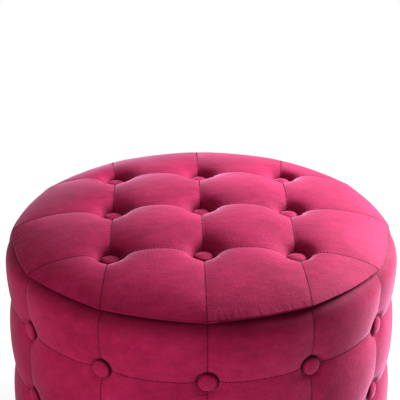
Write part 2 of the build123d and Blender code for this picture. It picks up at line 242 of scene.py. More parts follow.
def well(distance):
    """How far the cloth has left a button's seat, by the distance from the button's middle."""
    return 1 - np.exp(-np.maximum(distance - button_seat, 0) / well_width)


def moat(distance):
    """How deep the cloth is drawn in round a button, below the button's seat."""
    return moat_depth * np.exp(-(np.maximum(distance - button_seat, 0) / moat_width) ** 2)


def corner_share(angle):
    """How much a direction belongs to the two front diagonals, where the lid is fullest."""
    return np.sin(2 * angle) ** 2 * (1 - np.sin(angle)) / 2


def edge_radius(angle):
    """The lid's outline: a corner at each of the twelve seams, fuller on the front diagonals."""
    half_panel = lid_panel_angle / 2
    across = (np.mod(np.degrees(angle), lid_panel_angle) - half_panel) / half_panel
    straight = lid_middle_radius + (lid_seam_radius - lid_middle_radius) * across**2
    return straight + lid_corner_bulge * corner_share(angle)


def edge_point(angle):
    radius = edge_radius(angle)
    return np.stack([radius * np.cos(angle), radius * np.sin(angle)], -1)


def lid_plan():
    """A square grid over the round lid: straight between the buttons, spread out to the edge.

    Gives each point's place, and how far its puff has risen from the seams each way.
    """
    half = lid_inner_cells + lid_outer_cells
    index = np.arange(-half, half + 1)
    row, column = np.meshgrid(index, index, indexing="ij")
    side_of_middle = np.stack([np.sign(column), np.sign(row)], -1)
    cells = np.abs(np.stack([column, row], -1))
    inner = np.minimum(cells, lid_inner_cells) / lid_inner_cells
    outer = np.maximum(cells - lid_inner_cells, 0) / lid_outer_cells
    panel, half_panel = math.radians(lid_panel_angle), math.radians(lid_panel_angle / 2)
    start = button_pitch * inner
    right_share, back_share = outer[..., :1], outer[..., 1:]
    right_edge = edge_point(inner[..., 1] * panel)
    back_edge = edge_point(math.pi / 2 - inner[..., 0] * panel)
    right = (1 - right_share) * start + right_share * right_edge
    back = (1 - back_share) * start + back_share * back_edge

    # A corner panel lies between two straight seams and the edge's two arcs
    first = edge_point(np.full(row.shape, panel))
    second = edge_point(np.full(row.shape, 2 * panel))
    middle = edge_point(np.full(row.shape, 1.5 * panel))
    along_first = (1 - right_share) * start + right_share * first
    along_second = (1 - back_share) * start + back_share * second
    seams = (1 - back_share) * along_first + (1 - right_share) * along_second
    arcs = back_share * edge_point(2 * panel - outer[..., 0] * half_panel)
    arcs = arcs + right_share * edge_point(panel + outer[..., 1] * half_panel)
    counted_twice = (
        (1 - right_share) * (1 - back_share) * start + right_share * (1 - back_share) * first
        + (1 - right_share) * back_share * second + right_share * back_share * middle
    )
    corner = seams + arcs - counted_twice

    place = np.where((right_share > 0) & (back_share == 0), right, start)
    place = np.where((right_share == 0) & (back_share > 0), back, place)
    place = np.where((right_share > 0) & (back_share > 0), corner, place)
    rise = np.where(outer > 0, outer_rise(outer), pillow(inner))
    return place * side_of_middle, rise


def lid_button_distance(place):
    """From each point of the lid to the nearest button's middle."""
    nearest = np.full(place.shape[:-1], far_away)
    for across in (-button_pitch, 0, button_pitch):
        for along in (-button_pitch, 0, button_pitch):
            distance = np.hypot(place[..., 0] - across, place[..., 1] - along)
            nearest = np.minimum(nearest, distance)
    return nearest


def lid_seat(radius):
    """Height of the buttons' seats above the rim."""
    return lid_seat_height - lid_seat_fall * (radius / lid_seam_radius) ** 2


def lid_heights(place, rise):
    """Height of the lid's tufted top above the rim."""
    angle = np.arctan2(place[..., 1], place[..., 0])
    radius = np.hypot(place[..., 0], place[..., 1]) * lid_seam_radius / edge_radius(angle)
    crown = crown_height * np.maximum(1 - (radius / crown_reach) ** 2, 0) ** crown_power
    crown = np.maximum(crown, lid_edge_height)
    seat = np.minimum(lid_seat(radius), crown * lid_seat_limit)
    flush = (radius - flush_start_radius) / (flush_end_radius - flush_start_radius)
    flush = np.clip(flush, 0, 1)
    flush = flush**2 * (3 - 2 * flush)
    share = lid_seam_share + (lid_outer_seam_share - lid_seam_share) * flush
    seam = seat + share * (crown - seat)
    both = crown - 2 * seam + seat
    tufted = seat + (seam - seat) * (rise[..., 0] + rise[..., 1])
    tufted = tufted + both * rise[..., 0] * rise[..., 1]
    distance = lid_button_distance(place)
    near_edge = (radius / lid_seam_radius - droop_start_share) / (1 - droop_start_share)
    droop = lid_corner_droop * corner_share(angle) * np.clip(near_edge, 0, 1) ** 2
    return seat + (tufted - seat) * well(distance) - moat(distance) - droop


def measure_seams(points, lines_across, lines_along):
    """For each point of a grid: how far the nearest seam is, and where along it the point lies."""
    rows, cols = points.shape[:2]
    nearest = np.full((rows, cols), far_away)
    place = np.zeros((rows, cols))
    for turned, lines in ((False, lines_across), (True, lines_along)):
        grid = points.swapaxes(0, 1) if turned else points
        near = np.full(grid.shape[:2], far_away)
        along = np.zeros(grid.shape[:2])
        for line in lines:
            away = np.linalg.norm(grid - grid[line][None], axis=-1)
            steps = np.linalg.norm(np.diff(grid[line], axis=0), axis=-1)
            length = np.concatenate([[0], np.cumsum(steps)])
            closer = away < near
            near = np.where(closer, away, near)
            along = np.where(closer, length[None], along)
        if turned:
            near, along = near.T, along.T
        closer = near < nearest
        nearest = np.where(closer, near, nearest)
        place = np.where(closer, along, place)
    return nearest, place


def paint(piece, name, distances):
    """Keeps a distance on the piece's first points, for its material; the rest are far away."""
    values = np.full(len(piece.data.vertices), far_away, np.float32)
    values[: distances.size] = distances.ravel()
    attribute = piece.data.attributes.new(name, "FLOAT", "POINT")
    attribute.data.foreach_set("value", values)


def crease_edges(piece, chains, sharpness):
    """Makes the edges along each chain of points sharp for the subdivision."""
    wanted = set()
    for chain in chains:
        for first, second in zip(chain[:-1], chain[1:]):
            wanted.add((min(first, second), max(first, second)))
    attribute = piece.data.attributes.get("crease_edge")
    if attribute is None:
        attribute = piece.data.attributes.new("crease_edge", "FLOAT", "EDGE")
    for edge in piece.data.edges:
        if tuple(sorted(edge.vertices)) in wanted:
            attribute.data[edge.index].value = sharpness


def point_places(piece):
    """Where each point of a piece is, one row for each."""
    places = np.zeros(len(piece.data.vertices) * 3, np.float32)
    piece.data.vertices.foreach_get("co", places)
    return places.reshape(-1, 3)


def inflate(piece, pins, swell, pressure):
    """Blows the cloth up a little between its pinned seams, and never further than swell."""
    before = point_places(piece)
    group = piece.vertex_groups.new(name="seams")
    for weight in sorted(set(pins.values())):
        group.add([point for point, value in pins.items() if value == weight], weight, "REPLACE")
    modifier = piece.modifiers.new("cloth", "CLOTH")
    settings = modifier.settings
    settings.quality = 6
    settings.mass = 0.25
    settings.tension_stiffness = 12
    settings.compression_stiffness = 12
    settings.shear_stiffness = 6
    settings.bending_stiffness = 4.0
    settings.air_damping = 2
    settings.use_pressure = True
    settings.uniform_pressure_force = pressure
    settings.shrink_min = 0.0
    settings.vertex_group_mass = "seams"
    settings.pin_stiffness = 1
    settings.effector_weights.gravity = 0
    modifier.collision_settings.use_collision = False
    modifier.point_cache.frame_start = 1
    modifier.point_cache.frame_end = cloth_frames
    scene = bpy.context.scene
    for number in range(1, cloth_frames + 1):
        scene.frame_set(number)
    apply_modifier(piece, modifier)
    moved = point_places(piece) - before
    length = np.linalg.norm(moved, axis=1, keepdims=True)
    moved = moved * np.minimum(1, swell / np.maximum(length, 1e-9))
    piece.data.vertices.foreach_set("co", (before + moved).ravel())
    piece.data.update()
    scene.frame_set(1)
    piece.vertex_groups.clear()


def subdivide(piece):
    modifier = piece.modifiers.new("smooth", "SUBSURF")
    modifier.levels = 1
    modifier.render_levels = 1
    apply_modifier(piece, modifier)


def close_hole(piece):
    """Closes the one open loop of a flat underside with a fan of faces."""
    select_only(piece)
    bpy.ops.object.mode_set(mode="EDIT")
    bpy.ops.mesh.select_mode(type="EDGE")
    bpy.ops.mesh.select_all(action="DESELECT")
    bpy.ops.mesh.select_non_manifold(extend=False)
    bpy.ops.mesh.edge_face_add()
    bpy.ops.mesh.poke()
    bpy.ops.mesh.select_mode(type="VERT")
    bpy.ops.object.mode_set(mode="OBJECT")


# The lid's cushion, velvet over foam, closed underneath


def lid_border(size):
    """The points round the edge of a square grid, in order."""
    last = size - 1
    border = list(range(last))
    border += [row * size + last for row in range(last)]
    border += [last * size + column for column in range(last, 0, -1)]
    border += [row * size for row in range(last, 0, -1)]
    return border


def make_lid_cushion():
    """The lid's cushion, and the chain of points along each of its seams."""
    place, rise = lid_plan()
    top = np.concatenate([place, rim_z + lid_heights(place, rise)[..., None]], -1)
    size = len(top)
    border = lid_border(size)
    edge = top.reshape(-1, 3)[border]
    reach = np.linalg.norm(edge[:, :2], axis=1, keepdims=True)
    outwards = edge[:, :2] / reach
    points = [top.reshape(-1, 3)]
    faces = square_faces(size)
    previous = border
    for number, (inwards, height_share) in enumerate(lip_rings):
        level = lid_z + (edge[:, 2:] - lid_z) * height_share
        points.append(np.concatenate([outwards * (reach - inwards), level], 1))
        start = size * size + number * len(border)
        ring = range(start, start + len(border))
        faces += band_faces(previous, ring)
        previous = ring
    points = np.concatenate(points)
    lid = piece_from("lid_cushion", points, faces)

    lines = [lid_outer_cells + number * lid_inner_cells for number in range(3)]
    chains = [[line * size + column for column in range(size)] for line in lines]
    chains += [[row * size + line for row in range(size)] for line in lines]
    to_seam, along_seam = measure_seams(top, lines, lines)
    paint(lid, "seam_distance", to_seam)
    paint(lid, "seam_along", along_seam)
    angle = np.arctan2(place[..., 1], place[..., 0])
    to_edge = edge_radius(angle) - np.hypot(place[..., 0], place[..., 1])
    # The lip's first rings count as the edge itself, so the painted edge shade is darkest there
    turned_under = np.zeros(turned_under_rings * len(border))
    paint(lid, "edge_distance", np.concatenate([to_edge.ravel(), turned_under]))
    to_button = lid_button_distance(place)
    paint(lid, "button_distance", to_button)
    crease_edges(lid, chains, seam_sharpness)
    crease_edges(lid, [border + border[:1]], 1.0)
    pins = dict.fromkeys([*range(size * size, len(points)), *border], 1.0)
    pins.update({point: seam_hold for chain in chains for point in chain})
    near = np.nonzero(to_button.ravel() < button_hold_radius)[0]
    pins.update(dict.fromkeys(near.tolist(), 1.0))
    inflate(lid, pins, lid_swell, lid_pressure)
    subdivide(lid)
    close_hole(lid)
    return lid, chains


# The side's upholstery, velvet over foam, round the drum


def column_shares():
    """How far each point of a ring has come from one upright seam to the next."""
    return (np.arange(around) % column_cells) / column_cells


def side_button_distance(level):
    """From each point of a ring at this level to the nearest button's middle."""
    share = column_shares()
    sideways = np.minimum(share, 1 - share) * 2 * math.pi / columns * seat_radius
    drop = min(abs(level - row_level) for row_level in row_levels)
    return np.hypot(sideways, drop)


def side_rings():
    """The side's rings, each a level and its radii, from the skirt in the mouth round the hem.

    The first list ends under the base; the second closes the inside. The numbers of the rings
    that lie on a row of buttons come last.
    """
    across = pillow(column_shares())
    shoulder_start = rim_z - shoulder_height
    hem_start = hem_z + hem_height
    outside, button_rings = [], []

    def ring(level, seam, middle):
        return level, seam + (middle - seam) * across

    def add_panel(top, drop, rises):
        """Rings down a band of puffs: for each its share of the drop, and how far it has risen."""
        for share, rise in rises:
            level = top - share * drop
            seam = seat_radius + (seam_radius - seat_radius) * rise
            middle = row_radius + (puff_radius - row_radius) * rise
            puffed = seam + (middle - seam) * across
            distance = side_button_distance(level)
            radii = seat_radius + (puffed - seat_radius) * well(distance) - moat(distance)
            outside.append((level, radii))

    def add_turn(start, end, seam_end, middle_end, shares):
        """Rings over a rounded edge, from the panels to where the cloth lies flat."""
        for share in shares:
            angle = share * math.pi / 2
            seam = seam_end + (seam_radius - seam_end) * math.cos(angle)
            middle = middle_end + (puff_radius - middle_end) * math.cos(angle)
            outside.append(ring(start + (end - start) * math.sin(angle), seam, middle))

    for share in np.linspace(0, 1, skirt_cells + 1):
        outside.append(ring(rim_z - skirt_depth * (1 - share), mouth_radius, mouth_radius))
    for share in rim_shares:
        seam = mouth_radius + share * (rim_radius - mouth_radius)
        middle = mouth_radius + share * (rim_middle_radius - mouth_radius)
        outside.append(ring(rim_z, seam, middle))
    shares = np.linspace(1, 0, shoulder_cells + 1)[:-1]
    add_turn(shoulder_start, rim_z, rim_radius, rim_middle_radius, shares)
    shares = np.linspace(1, 0, top_band_cells + 1)[:-1]
    rises = [(share, pillow(share * 0.5)) for share in shares]
    add_panel(row_levels[0], row_levels[0] - shoulder_start, rises)
    for level, below in zip(row_levels, row_levels[1:]):
        button_rings.append(len(outside))
        shares = np.linspace(0, 1, band_cells + 1)[:-1]
        add_panel(level, level - below, [(share, pillow(share)) for share in shares])
    button_rings.append(len(outside))
    shares = np.linspace(0, 1, bottom_band_cells + 1)
    rises = [(share, pillow(share * 0.5)) for share in shares]
    add_panel(row_levels[-1], row_levels[-1] - hem_start, rises)
    shares = np.linspace(0, 1, hem_cells + 1)[1:]
    add_turn(hem_start, hem_z, hem_radius, hem_middle_radius, shares)
    for share in hem_return_shares:
        radius = hem_middle_radius + share * (hem_return_radius - hem_middle_radius)
        outside.append(ring(hem_z, radius, radius))

    inside = []
    for level, radius in (
        (hem_z + skirt_thickness, hem_return_radius),
        (hem_z + skirt_thickness, wall_radius),
        (rim_z - skirt_thickness, wall_radius),
        (rim_z - skirt_thickness, mouth_radius + skirt_thickness),
        (rim_z - skirt_depth, mouth_radius + skirt_thickness),
    ):
        inside.append(ring(level, radius, radius))
    return outside, inside, button_rings


def ring_numbers(ring):
    """The points of one of the side's rings."""
    return range(ring * around, (ring + 1) * around)


def make_side_upholstery():
    """The side's upholstery, and the chain of points along each of its seams."""
    outside, inside, button_rings = side_rings()
    angles = np.radians(-90 + np.arange(around) * 360.0 / around)
    grid = np.array([
        np.stack([radii * np.cos(angles), radii * np.sin(angles), np.full(around, level)], -1)
        for level, radii in outside + inside
    ])
    faces = []
    for ring in range(len(grid)):
        faces += band_faces(ring_numbers(ring), ring_numbers((ring + 1) % len(grid)))
    side = piece_from("side_upholstery", grid.reshape(-1, 3), faces)

    lines = [column * column_cells for column in range(columns)]
    seam_rings = range(first_seam_ring, len(outside))
    chains = [[ring * around + line for ring in seam_rings] for line in lines]
    for ring in button_rings:
        chains.append([ring * around + index % around for index in range(around + 1)])
    to_seam, along_seam = measure_seams(grid[: len(outside)], button_rings, lines)
    paint(side, "seam_distance", to_seam)
    paint(side, "seam_along", along_seam)
    to_button = np.array([side_button_distance(level) for level, radii in outside])
    to_button[:shoulder_ring] = far_away
    paint(side, "button_distance", to_button)
    crease_edges(side, chains, seam_sharpness)
    last_panel_ring = len(outside) - len(hem_return_shares) - 1
    pins = {}
    for ring in range(len(grid)):
        if ring <= shoulder_ring or ring >= last_panel_ring:
            pins.update(dict.fromkeys(ring_numbers(ring), 1.0))
    for chain in chains:
        for point in chain:
            pins.setdefault(point, seam_hold)
    for ring in range(shoulder_ring, last_panel_ring):
        near = np.nonzero(side_button_distance(outside[ring][0]) < button_hold_radius)[0]
        pins.update(dict.fromkeys((ring * around + near).tolist(), 1.0))
    inflate(side, pins, side_swell, side_pressure)
    subdivide(side)
    return side, chains


# Stitches along the seams


def make_stitch():
    """One stitch along X at the origin, its ends sunk: a short bent thread with six sides."""
    along, lift, thickness = stitch_profile[0]
    bpy.ops.object.select_all(action="DESELECT")
    bpy.ops.mesh.primitive_circle_add(
        vertices=6, radius=stitch_radius * thickness, fill_type="NGON")
    stitch = bpy.context.active_object
    bpy.ops.object.mode_set(mode="EDIT")
    bpy.ops.mesh.select_all(action="SELECT")
    bpy.ops.transform.rotate(value=math.pi / 2, orient_axis="Y", center_override=(0, 0, 0))
    bpy.ops.transform.translate(value=(along * stitch_length, 0, lift * stitch_radius))
    for next_along, next_lift, next_thickness in stitch_profile[1:]:
        step = ((next_along - along) * stitch_length, 0, (next_lift - lift) * stitch_radius)
        bpy.ops.mesh.extrude_region_move(TRANSFORM_OT_translate={"value": step})
        scale = next_thickness / thickness
        bpy.ops.transform.resize(value=(1, scale, scale))
        along, lift, thickness = next_along, next_lift, next_thickness
    bpy.ops.mesh.select_all(action="SELECT")
    bpy.ops.mesh.normals_make_consistent(inside=False)
    bpy.ops.object.mode_set(mode="OBJECT")
    return stitch


def place_copies(name, pattern, places):
    """One piece that holds a copy of the pattern's mesh at each place."""
    spots = np.array([tuple(vertex.co) + (1.0,) for vertex in pattern.data.vertices])
    shape = [tuple(face.vertices) for face in pattern.data.polygons]
    points, faces = [], []
    for number, place in enumerate(places):
        points.append(spots @ np.array(place).T)
        faces += [tuple(point + number * len(spots) for point in face) for face in shape]
    return piece_from(name, np.concatenate(points)[:, :3], faces)


def paint_copies(piece, pattern):
    """Keeps on every copy how far its points lie from the pattern's middle."""
    reach = [math.hypot(vertex.co.x, vertex.co.y) for vertex in pattern.data.vertices]
    paint(piece, "button_distance", np.tile(reach, len(piece.data.vertices) // len(reach)))


def stitch_places(piece, chains, outwards):
    """Places along the seams, one stitch pitch apart, with Z the way that the cloth faces."""
    places = []
    for chain in chains:
        run = [piece.data.vertices[point].co for point in chain]
        spots = np.array([tuple(spot) for spot in run])
        normals = np.array([tuple(outwards(spot)) for spot in run])
        steps = np.linalg.norm(np.diff(spots, axis=0), axis=1)
        length = np.concatenate([[0], np.cumsum(steps)])

        def read(values, distance):
            return np.array([np.interp(distance, length, values[:, axis]) for axis in range(3)])

        for number in range(int(length[-1] / stitch_pitch)):
            middle = (number + 0.5) * stitch_pitch
            spot, normal = read(spots, middle), Vector(read(normals, middle))
            along = Vector(read(spots, middle + stitch_pitch / 3) - spot).normalized()
            up = (normal - along * along.dot(normal)).normalized()
            place = Matrix((along, up.cross(along), up)).transposed().to_4x4()
            place.translation = Vector(spot)
            places.append(place)
    return places


def upwards(spot):
    """The lid's stitches all face up."""
    return Vector((0, 0, 1))


def away_from_axis(spot):
    """The side's stitches face away from the drum's middle."""
    return Vector((spot.x, spot.y, 0)).normalized()


# Buttons


def make_button():
    """One covered button, pointing up, its seat at zero: a dome with cloth gathered under it."""
    radius, height = button_profile[0]
    bpy.ops.object.select_all(action="DESELECT")
    bpy.ops.mesh.primitive_circle_add(
        vertices=48, radius=radius, fill_type="NGON", location=(0, 0, height))
    button = bpy.context.active_object
    bpy.ops.object.mode_set(mode="EDIT")
    bpy.ops.mesh.select_all(action="SELECT")
    for next_radius, next_height in button_profile[1:]:
        step = (0, 0, next_height - height)
        bpy.ops.mesh.extrude_region_move(TRANSFORM_OT_translate={"value": step})
        scale = next_radius / radius
        bpy.ops.transform.resize(value=(scale, scale, 1))
        radius, height = next_radius, next_height
    bpy.ops.mesh.select_all(action="SELECT")
    bpy.ops.mesh.normals_make_consistent(inside=False)
    bpy.ops.object.mode_set(mode="OBJECT")
    bpy.ops.object.transform_apply(location=True, rotation=True, scale=True)
    for vertex in button.data.vertices:
        turn = math.atan2(vertex.co.y, vertex.co.x)
        depth = max(0.0, 1 - abs(vertex.co.z - pleat_level) / pleat_height) * pleat_depth
        pleat = depth * math.cos(pleats * turn)
        if math.hypot(vertex.co.x, vertex.co.y) > pleat_start_radius:
            vertex.co.x += math.cos(turn) * pleat
            vertex.co.y += math.sin(turn) * pleat
    button.data.shade_smooth()
    return button


def turned(degrees, axis="Z"):
    return Matrix.Rotation(math.radians(degrees), 4, axis)


def lid_button_places():
    places = []
    for row in (-1, 0, 1):
        for column in (-1, 0, 1):
            across, along = column * button_pitch, row * button_pitch
            height = rim_z + float(lid_seat(math.hypot(across, along))) + button_lift
            spin = turned(lid_button_turn * (3 * row + column))
            places.append(Matrix.Translation((across, along, height)) @ spin)
    return places


def side_button_places(level):
    places = []
    for column in range(columns):
        turn = turned(-90 + column * 360 / columns)
        out = Matrix.Translation((seat_radius, 0, level))
        places.append(turn @ out @ turned(90, "Y") @ turned(side_button_turn * column))
    return places


# Materials


def new_material(name):
    material = bpy.data.materials.new(name)
    material.use_nodes = True
    nodes, links = material.node_tree.nodes, material.node_tree.links
    return material, nodes, links, nodes["Principled BSDF"]


def grey(value):
    return (value, value, value)


def darker(colour, share):
    return tuple(value * share for value in colour)


def object_noise(nodes, links, scale, detail, stretch=(1, 1, 1), rough=0.55):
    place = nodes.new("ShaderNodeTexCoord")
    mapping = nodes.new("ShaderNodeMapping")
    mapping.inputs["Scale"].default_value = stretch
    noise = nodes.new("ShaderNodeTexNoise")
    noise.inputs["Scale"].default_value = scale
    noise.inputs["Detail"].default_value = detail
    noise.inputs["Roughness"].default_value = rough
    links.new(place.outputs["Object"], mapping.inputs["Vector"])
    links.new(mapping.outputs["Vector"], noise.inputs["Vector"])
    return noise.outputs["Fac"]


def ramp(nodes, links, value, stops):
    """Turns a value into colours or greys at given places."""
    scale = nodes.new("ShaderNodeValToRGB")
    while len(scale.color_ramp.elements) < len(stops):
        scale.color_ramp.elements.new(0.5)
    for element, (place, colour) in zip(scale.color_ramp.elements, stops):
        element.position = place
        element.color = (*colour, 1)
    links.new(value, scale.inputs["Fac"])
    return scale.outputs["Color"]


def mix(nodes, links, share, first, second, way="MIX"):
    node = nodes.new("ShaderNodeMix")
    node.data_type = "RGBA"
    node.blend_type = way
    node.inputs[0].default_value = share
    links.new(first, node.inputs[6])
    links.new(second, node.inputs[7])
    return node.outputs[2]


def calculate(nodes, links, way, first, second=0.0):
    node = nodes.new("ShaderNodeMath")
    node.operation = way
    for socket, value in zip(node.inputs, (first, second)):
        if hasattr(value, "links"):
            links.new(value, socket)
        else:
            socket.default_value = value
    return node.outputs[0]


def bump(nodes, links, height, distance, strength, before=None):
    node = nodes.new("ShaderNodeBump")
    node.inputs["Distance"].default_value = distance
    node.inputs["Strength"].default_value = strength
    links.new(height, node.inputs["Height"])
    if before is not None:
        links.new(before, node.inputs["Normal"])
    return node.outputs["Normal"]


def kept_on_mesh(nodes, name):
    attribute = nodes.new("ShaderNodeAttribute")
    attribute.attribute_name = name
    return attribute.outputs["Fac"]


def by_distance(nodes, links, distance, reach, stops):
    """Colours by a distance in metres; the stops' places are shares of the reach."""
    return ramp(nodes, links, calculate(nodes, links, "MULTIPLY", distance, 1 / reach), stops)


def edge_gathers(nodes, links, normal):
    """Small folds that run in from the lid's edge, where the cloth is pulled under."""
    place = nodes.new("ShaderNodeTexCoord")
    flat = nodes.new("ShaderNodeVectorMath")
    flat.operation = "MULTIPLY"
    flat.inputs[1].default_value = (1, 1, 0)
    links.new(place.outputs["Object"], flat.inputs[0])
    direction = nodes.new("ShaderNodeVectorMath")
    direction.operation = "NORMALIZE"
    links.new(flat.outputs["Vector"], direction.inputs[0])
    folds = nodes.new("ShaderNodeTexNoise")
    folds.inputs["Scale"].default_value = 34
    folds.inputs["Detail"].default_value = 2
    links.new(direction.outputs["Vector"], folds.inputs["Vector"])
    fade = by_distance(nodes, links, kept_on_mesh(nodes, "edge_distance"), 0.020, (
        (0.0, white), (0.25, grey(0.55)), (0.8, black),
    ))
    height = calculate(nodes, links, "MULTIPLY", folds.outputs["Fac"], fade)
    return bump(nodes, links, height, 0.004, 0.45, normal)


def painted_edge_shade(nodes, links):
    """Painted shade in the crease where the lid's cloth turns under: darkest on the lip, fading
    within ten millimetres of the edge.
    """
    return by_distance(nodes, links, kept_on_mesh(nodes, "edge_distance"), 0.020, (
        (0.0, painted_shade_colour), (0.07, (0.60, 0.53, 0.56)), (0.20, (0.92, 0.90, 0.91)), (0.5, white),
    ))


def painted_lid_shadow(nodes, links):
    """Painted shadow of the lid on the side's cloth: darker in the band just under the rim, fading
    downwards.
    """
    place = nodes.new("ShaderNodeTexCoord")
    split = nodes.new("ShaderNodeSeparateXYZ")
    links.new(place.outputs["Object"], split.inputs[0])
    depth = calculate(nodes, links, "SUBTRACT", rim_z, split.outputs["Z"])
    return by_distance(nodes, links, depth, 0.030, (
        (0.0, (0.62, 0.55, 0.58)), (0.25, (0.72, 0.66, 0.69)), (0.55, (0.94, 0.92, 0.93)),
        (0.8, white),
    ))


def painted_button_shade(nodes, links):
    """A painted ring of shade where the cloth is drawn in round each button, and on the rim of
    each button's dome.
    """
    return by_distance(nodes, links, kept_on_mesh(nodes, "button_distance"), 0.020, (
        (0.54, white), (0.60, painted_shade_colour), (0.66, painted_shade_colour), (0.76, white),
    ))


def seam_shade(nodes, links):
    """The groove along each seam."""
    return by_distance(nodes, links, kept_on_mesh(nodes, "seam_distance"), 0.008, (
        (0.0, (0.62, 0.52, 0.55)), (0.08, (0.74, 0.67, 0.70)), (0.18, (0.96, 0.95, 0.95)),
        (0.9, white),
    ))


def seam_puckers(nodes, links, normal):
    """The cloth beside a seam, drawn up between its stitches."""
    along = kept_on_mesh(nodes, "seam_along")
    turns = calculate(nodes, links, "MULTIPLY", along, 2 * math.pi / stitch_pitch)
    fade = by_distance(nodes, links, kept_on_mesh(nodes, "seam_distance"), 0.010, (
        (0.0, white), (0.12, grey(0.4)), (0.3, black),
    ))
    wave = calculate(nodes, links, "SINE", turns)
    pucker = calculate(nodes, links, "MULTIPLY", wave, fade)
    return bump(nodes, links, pucker, 0.0005, 0.45, normal)


def velvet(name, painted_shading=None, gathers=False):
    """Short-pile velvet: nap that lies in soft patches, fibres and a pale sheen.

    A cover with seams gets their grooves and puckers, and the shade painted where the lid's edge
    meets it. Gathers are the small folds at the lid's edge.
    """
    material, nodes, links, surface = new_material(name)
    patches = object_noise(nodes, links, 9, 3, (1, 1.5, 1.2), 0.5)
    streaks = object_noise(nodes, links, 75, 5, (0.6, 1.1, 1.1), 0.6)
    grain = object_noise(nodes, links, 330, 3)
    fibres = object_noise(nodes, links, 1500, 2)
    colour = ramp(nodes, links, mix(nodes, links, 0.42, patches, streaks), (
        (0.36, (0.240, 0.0058, 0.040)), (0.50, (0.310, 0.0092, 0.053)),
        (0.64, (0.384, 0.0138, 0.070)),
    ))
    speck = ramp(nodes, links, fibres, ((0.3, grey(0.80)), (0.7, white)))
    colour = mix(nodes, links, 0.5, colour, speck, "MULTIPLY")
    tips = ramp(nodes, links, grain, ((0.36, grey(0.84)), (0.62, white)))
    colour = mix(nodes, links, 1.0, colour, tips, "MULTIPLY")
    # Painted shade: a dark ring round each button, on the cloth and on the buttons alike
    colour = mix(nodes, links, 1.0, colour, painted_button_shade(nodes, links), "MULTIPLY")
    normal = bump(nodes, links, grain, 0.0008, 0.4)
    normal = bump(nodes, links, streaks, 0.0008, 0.25, normal)
    if painted_shading is not None:
        colour = mix(nodes, links, 1.0, colour, seam_shade(nodes, links), "MULTIPLY")
        # Painted shade where the lid's edge meets this cover
        colour = mix(nodes, links, 1.0, colour, painted_shading(nodes, links), "MULTIPLY")
        normal = seam_puckers(nodes, links, normal)
    if gathers:
        normal = edge_gathers(nodes, links, normal)
    links.new(colour, surface.inputs["Base Color"])
    links.new(normal, surface.inputs["Normal"])
    surface.inputs["Roughness"].default_value = 0.80
    surface.inputs["Specular IOR Level"].default_value = 0.12
    surface.inputs["Specular Tint"].default_value = sheen_pink
    surface.inputs["Sheen Weight"].default_value = 0.33
    surface.inputs["Sheen Roughness"].default_value = 0.30
    surface.inputs["Sheen Tint"].default_value = sheen_pink
    return material


def thread(name, colour):
    """Sewing thread or twine: short dark fibres."""
    material, nodes, links, surface = new_material(name)
    fibres = object_noise(nodes, links, 2600, 2)
    shades = ramp(nodes, links, fibres, ((0.3, darker(colour, 0.6)), (0.7, colour)))
    links.new(shades, surface.inputs["Base Color"])
    links.new(bump(nodes, links, fibres, 0.0002, 0.4), surface.inputs["Normal"])
    surface.inputs["Roughness"].default_value = 0.7
    surface.inputs["Specular IOR Level"].default_value = 0.08
    return material


def wood(name, light, dark, stretch):
    """Timber or plywood: long grain with darker growth lines and fine pores."""
    material, nodes, links, surface = new_material(name)
    grain = object_noise(nodes, links, 18, 6, stretch, 0.6)
    pores = object_noise(nodes, links, 240, 3, stretch, 0.7)
    pale = tuple(value * 1.08 for value in light)
    colour = ramp(nodes, links, grain, ((0.32, dark), (0.5, light), (0.68, pale)))
    fine = ramp(nodes, links, pores, ((0.35, (0.82, 0.78, 0.72)), (0.6, white)))
    links.new(mix(nodes, links, 0.7, colour, fine, "MULTIPLY"), surface.inputs["Base Color"])
    links.new(bump(nodes, links, pores, 0.0003, 0.35), surface.inputs["Normal"])
    surface.inputs["Roughness"].default_value = 0.62
    return material


def woven(name, light, dark, threads):
    """Plain cloth: a fine over-and-under weave and a little unevenness."""
    material, nodes, links, surface = new_material(name)
    place = nodes.new("ShaderNodeTexCoord")
    split = nodes.new("ShaderNodeSeparateXYZ")
    links.new(place.outputs["Object"], split.inputs[0])
    waves = []
    for axis in ("X", "Y", "Z"):
        turns = calculate(nodes, links, "MULTIPLY", split.outputs[axis], threads)
        waves.append(calculate(nodes, links, "SINE", turns))
    flat = calculate(nodes, links, "MULTIPLY", waves[0], waves[1])
    upright = calculate(nodes, links, "MULTIPLY", waves[2], 0.5)
    weave = calculate(nodes, links, "ADD", flat, upright)
    patches = object_noise(nodes, links, 30, 4)
    colour = ramp(nodes, links, patches, ((0.3, dark), (0.7, light)))
    half = calculate(nodes, links, "MULTIPLY", weave, 0.5)
    lift = calculate(nodes, links, "ADD", half, 0.5)
    shade = ramp(nodes, links, lift, ((0.0, grey(0.8)), (0.6, white)))
    links.new(mix(nodes, links, 0.8, colour, shade, "MULTIPLY"), surface.inputs["Base Color"])
    links.new(bump(nodes, links, weave, 0.0003, 0.4), surface.inputs["Normal"])
    surface.inputs["Roughness"].default_value = 0.9
    surface.inputs["Sheen Weight"].default_value = 0.15
    return material


def metal(name, colour, roughness):
    """Plated metal with drawn-out marks."""
    material, nodes, links, surface = new_material(name)
    marks = object_noise(nodes, links, 300, 4, (1, 1, 6))
    shades = ramp(nodes, links, marks, ((0.3, darker(colour, 0.78)), (0.7, colour)))
    links.new(shades, surface.inputs["Base Color"])
    links.new(bump(nodes, links, marks, 0.0001, 0.25), surface.inputs["Normal"])
    surface.inputs["Metallic"].default_value = 1.0
    surface.inputs["Roughness"].default_value = roughness
    return material


def moulded(name, colour):
    """Moulded plastic with a fine spark-eroded texture."""
    material, nodes, links, surface = new_material(name)
    grain = object_noise(nodes, links, 1800, 3)
    patches = object_noise(nodes, links, 40, 2)
    shades = ramp(nodes, links, patches, ((0.3, darker(colour, 0.8)), (0.7, colour)))
    links.new(shades, surface.inputs["Base Color"])
    links.new(bump(nodes, links, grain, 0.0002, 0.3), surface.inputs["Normal"])
    surface.inputs["Roughness"].default_value = 0.5
    return material


